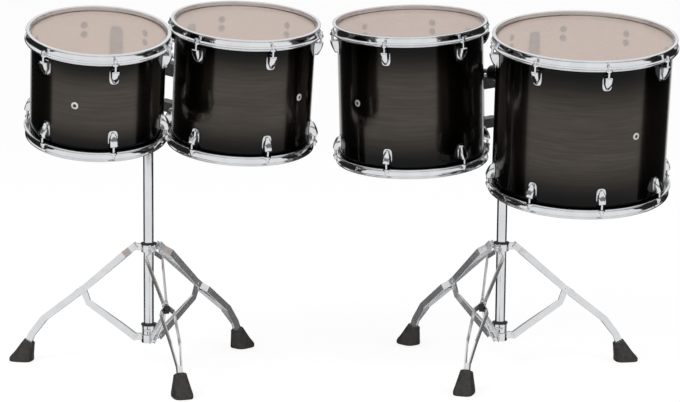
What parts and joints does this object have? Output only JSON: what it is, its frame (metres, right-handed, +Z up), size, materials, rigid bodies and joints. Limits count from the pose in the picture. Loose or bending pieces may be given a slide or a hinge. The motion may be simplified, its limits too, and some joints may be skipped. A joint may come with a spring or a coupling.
{
  "type": "concert tom set",
  "caption": "Double-headed concert toms of stepped sizes, hung in pairs from the masts of folding tripod stands with braced flat-strip legs and rubber feet.",
  "frame": {"origin": "floor under the middle of the set's box", "axes": "+Z up, +X to the right as seen from the players' side, the largest drum is towards +X, the players' side is -Y"},
  "size_m": [1.5918, 0.8894, 0.903],
  "materials": {
    "chrome": "polished",
    "lacquer": "gloss transparent black over figured wood",
    "head_film": "clear film",
    "black_cast": "semi-gloss",
    "rubber": "matte"
  },
  "bodies": {
    "left_base": {"left_base_tube": "chrome", "left_height_clamp": "chrome", "left_brace_hub": "chrome"},
    "left_upper": {"left_upper_tube": "chrome"},
    "left_head": {"left_tom_holder": "black_cast"},
    "left_wing": {"left_wing_bolt": "chrome"},
    "left_hub": {"left_leg_hub": "chrome"},
    "left_leg_1_body": {"left_leg_1": "chrome", "left_foot_1": "rubber"},
    "left_brace_1_body": {"left_brace_1": "chrome"},
    "left_leg_2_body": {"left_leg_2": "chrome", "left_foot_2": "rubber"},
    "left_brace_2_body": {"left_brace_2": "chrome"},
    "left_leg_3_body": {"left_leg_3": "chrome", "left_foot_3": "rubber"},
    "left_brace_3_body": {"left_brace_3": "chrome"},
    "drum_12_arm_body": {"drum_12_arm": "chrome"},
    "drum_12_body": {"drum_12_shell": "lacquer", "drum_12_top_hoop": "chrome", "drum_12_bottom_hoop": "chrome", "drum_12_batter_head": "head_film", "drum_12_resonant_head": "head_film", "drum_12_bracket": "black_cast"},
    "drum_13_arm_body": {"drum_13_arm": "chrome"},
    "drum_13_body": {"drum_13_shell": "lacquer", "drum_13_top_hoop": "chrome", "drum_13_bottom_hoop": "chrome", "drum_13_batter_head": "head_film", "drum_13_resonant_head": "head_film", "drum_13_bracket": "black_cast"},
    "right_base": {"right_base_tube": "chrome", "right_height_clamp": "chrome", "right_brace_hub": "chrome"},
    "right_upper": {"right_upper_tube": "chrome"},
    "right_head": {"right_tom_holder": "black_cast"},
    "right_wing": {"right_wing_bolt": "chrome"},
    "right_hub": {"right_leg_hub": "chrome"},
    "right_leg_1_body": {"right_leg_1": "chrome", "right_foot_1": "rubber"},
    "right_brace_1_body": {"right_brace_1": "chrome"},
    "right_leg_2_body": {"right_leg_2": "chrome", "right_foot_2": "rubber"},
    "right_brace_2_body": {"right_brace_2": "chrome"},
    "right_leg_3_body": {"right_leg_3": "chrome", "right_foot_3": "rubber"},
    "right_brace_3_body": {"right_brace_3": "chrome"},
    "drum_14_arm_body": {"drum_14_arm": "chrome"},
    "drum_14_body": {"drum_14_shell": "lacquer", "drum_14_top_hoop": "chrome", "drum_14_bottom_hoop": "chrome", "drum_14_batter_head": "head_film", "drum_14_resonant_head": "head_film", "drum_14_bracket": "black_cast"},
    "drum_16_arm_body": {"drum_16_arm": "chrome"},
    "drum_16_body": {"drum_16_shell": "lacquer", "drum_16_top_hoop": "chrome", "drum_16_bottom_hoop": "chrome", "drum_16_batter_head": "head_film", "drum_16_resonant_head": "head_film", "drum_16_bracket": "black_cast"}
  },
  "joints": [
    {"name": "left_height_slide", "type": "slide", "parent": "left_base", "child": "left_upper", "axis": [0, 0, 1], "range_m": [-0.03, 0.1]},
    {"name": "left_head_swivel", "type": "hinge", "parent": "left_upper", "child": "left_head", "pos_m": [-0.44609, 0.10983, 0.8], "axis": [0, 0, 1], "range_deg": [-30, 0]},
    {"name": "left_wing_turn", "type": "hinge", "parent": "left_base", "child": "left_wing", "pos_m": [-0.44609, 0.13983, 0.562], "axis": [1, 0, 0], "range_deg": [-180, 0]},
    {"name": "left_hub_slide", "type": "slide", "parent": "left_base", "child": "left_hub", "axis": [0, 0, 1], "range_m": [0, 0.117]},
    {"name": "left_leg_1_fold", "type": "hinge", "parent": "left_hub", "child": "left_leg_1_body", "pos_m": [-0.43457, 0.07519, 0.3], "axis": [-0.9489, -0.3156, 0], "range_deg": [-41.5, 0]},
    {"name": "left_brace_1_fold", "type": "hinge", "parent": "left_leg_1_body", "child": "left_brace_1_body", "pos_m": [-0.3933, -0.04888, 0.18825], "axis": [-0.9489, -0.3156, 0], "range_deg": [0, 83]},
    {"name": "left_leg_2_fold", "type": "hinge", "parent": "left_hub", "child": "left_leg_2_body", "pos_m": [-0.48184, 0.11717, 0.3], "axis": [0.2011, 0.9796, 0], "range_deg": [-41.5, 0]},
    {"name": "left_brace_2_fold", "type": "hinge", "parent": "left_leg_2_body", "child": "left_brace_2_body", "pos_m": [-0.60993, 0.14346, 0.18825], "axis": [0.2011, 0.9796, 0], "range_deg": [0, 83]},
    {"name": "left_leg_3_fold", "type": "hinge", "parent": "left_hub", "child": "left_leg_3_body", "pos_m": [-0.42186, 0.13712, 0.3], "axis": [0.7478, -0.6639, 0], "range_deg": [-41.5, 0]},
    {"name": "left_brace_3_fold", "type": "hinge", "parent": "left_leg_3_body", "child": "left_brace_3_body", "pos_m": [-0.33505, 0.2349, 0.18825], "axis": [0.7478, -0.6639, 0], "range_deg": [0, 83]},
    {"name": "drum_12_tilt", "type": "hinge", "parent": "left_head", "child": "drum_12_arm_body", "pos_m": [-0.45428, 0.07477, 0.83016], "axis": [1, 0, 0], "range_deg": [-10, 3]},
    {"name": "drum_12_turn", "type": "hinge", "parent": "drum_12_arm_body", "child": "drum_12_body", "pos_m": [-0.49253, -0.0868, 0.78194], "axis": [0.057, -0.2752, 0.9597], "range_deg": [-20, 2]},
    {"name": "drum_13_tilt", "type": "hinge", "parent": "left_head", "child": "drum_13_arm_body", "pos_m": [-0.41957, 0.08548, 0.78217], "axis": [1, 0, 0], "range_deg": [-3, 8]},
    {"name": "drum_13_turn", "type": "hinge", "parent": "drum_13_arm_body", "child": "drum_13_body", "pos_m": [-0.37011, 0.04311, 0.75034], "axis": [0.053, -0.2008, 0.9782], "range_deg": [-3, 6]},
    {"name": "right_unit_slide", "type": "slide", "parent": "left_base", "child": "right_base", "axis": [1, 0, 0], "range_m": [0, 0.25]},
    {"name": "right_height_slide", "type": "slide", "parent": "right_base", "child": "right_upper", "axis": [0, 0, 1], "range_m": [-0.03, 0.1]},
    {"name": "right_head_swivel", "type": "hinge", "parent": "right_upper", "child": "right_head", "pos_m": [0.41821, 0.16983, 0.8], "axis": [0, 0, 1], "range_deg": [0, 30]},
    {"name": "right_wing_turn", "type": "hinge", "parent": "right_base", "child": "right_wing", "pos_m": [0.41821, 0.19983, 0.562], "axis": [1, 0, 0], "range_deg": [-180, 0]},
    {"name": "right_hub_slide", "type": "slide", "parent": "right_base", "child": "right_hub", "axis": [0, 0, 1], "range_m": [0, 0.117]},
    {"name": "right_leg_1_fold", "type": "hinge", "parent": "right_hub", "child": "right_leg_1_body", "pos_m": [0.40669, 0.13519, 0.3], "axis": [-0.9489, 0.3156, 0], "range_deg": [-41.5, 0]},
    {"name": "right_brace_1_fold", "type": "hinge", "parent": "right_leg_1_body", "child": "right_brace_1_body", "pos_m": [0.36542, 0.01112, 0.18825], "axis": [-0.9489, 0.3156, 0], "range_deg": [0, 83]},
    {"name": "right_leg_2_fold", "type": "hinge", "parent": "right_hub", "child": "right_leg_2_body", "pos_m": [0.39398, 0.19712, 0.3], "axis": [0.7478, 0.6639, 0], "range_deg": [-41.5, 0]},
    {"name": "right_brace_2_fold", "type": "hinge", "parent": "right_leg_2_body", "child": "right_brace_2_body", "pos_m": [0.30717, 0.2949, 0.18825], "axis": [0.7478, 0.6639, 0], "range_deg": [0, 83]},
    {"name": "right_leg_3_fold", "type": "hinge", "parent": "right_hub", "child": "right_leg_3_body", "pos_m": [0.45397, 0.17716, 0.3], "axis": [0.2011, -0.9796, 0], "range_deg": [-41.5, 0]},
    {"name": "right_brace_3_fold", "type": "hinge", "parent": "right_leg_3_body", "child": "right_brace_3_body", "pos_m": [0.58205, 0.20346, 0.18825], "axis": [0.2011, -0.9796, 0], "range_deg": [0, 83]},
    {"name": "drum_14_tilt", "type": "hinge", "parent": "right_head", "child": "drum_14_arm_body", "pos_m": [0.39465, 0.19705, 0.7258], "axis": [1, 0, 0], "range_deg": [-3, 8]},
    {"name": "drum_14_turn", "type": "hinge", "parent": "drum_14_arm_body", "child": "drum_14_body", "pos_m": [0.36577, 0.2345, 0.70818], "axis": [-0.0328, -0.1477, 0.9885], "range_deg": [-12, 2]},
    {"name": "drum_16_tilt", "type": "hinge", "parent": "right_head", "child": "drum_16_arm_body", "pos_m": [0.43108, 0.1362, 0.74003], "axis": [1, 0, 0], "range_deg": [-10, 3]},
    {"name": "drum_16_turn", "type": "hinge", "parent": "drum_16_arm_body", "child": "drum_16_body", "pos_m": [0.45621, 0.07503, 0.70449], "axis": [0.0017, -0.2079, 0.9781], "range_deg": [-2, 20]}
  ],
  "couplings": [
    {"joint": "left_leg_1_fold", "follows": "left_hub_slide", "rad_per_m": -6.179},
    {"joint": "left_brace_1_fold", "follows": "left_hub_slide", "rad_per_m": 12.358},
    {"joint": "left_leg_2_fold", "follows": "left_hub_slide", "rad_per_m": -6.179},
    {"joint": "left_brace_2_fold", "follows": "left_hub_slide", "rad_per_m": 12.358},
    {"joint": "left_leg_3_fold", "follows": "left_hub_slide", "rad_per_m": -6.179},
    {"joint": "left_brace_3_fold", "follows": "left_hub_slide", "rad_per_m": 12.358},
    {"joint": "right_leg_1_fold", "follows": "right_hub_slide", "rad_per_m": -6.179},
    {"joint": "right_brace_1_fold", "follows": "right_hub_slide", "rad_per_m": 12.358},
    {"joint": "right_leg_2_fold", "follows": "right_hub_slide", "rad_per_m": -6.179},
    {"joint": "right_brace_2_fold", "follows": "right_hub_slide", "rad_per_m": 12.358},
    {"joint": "right_leg_3_fold", "follows": "right_hub_slide", "rad_per_m": -6.179},
    {"joint": "right_brace_3_fold", "follows": "right_hub_slide", "rad_per_m": 12.358}
  ]
}
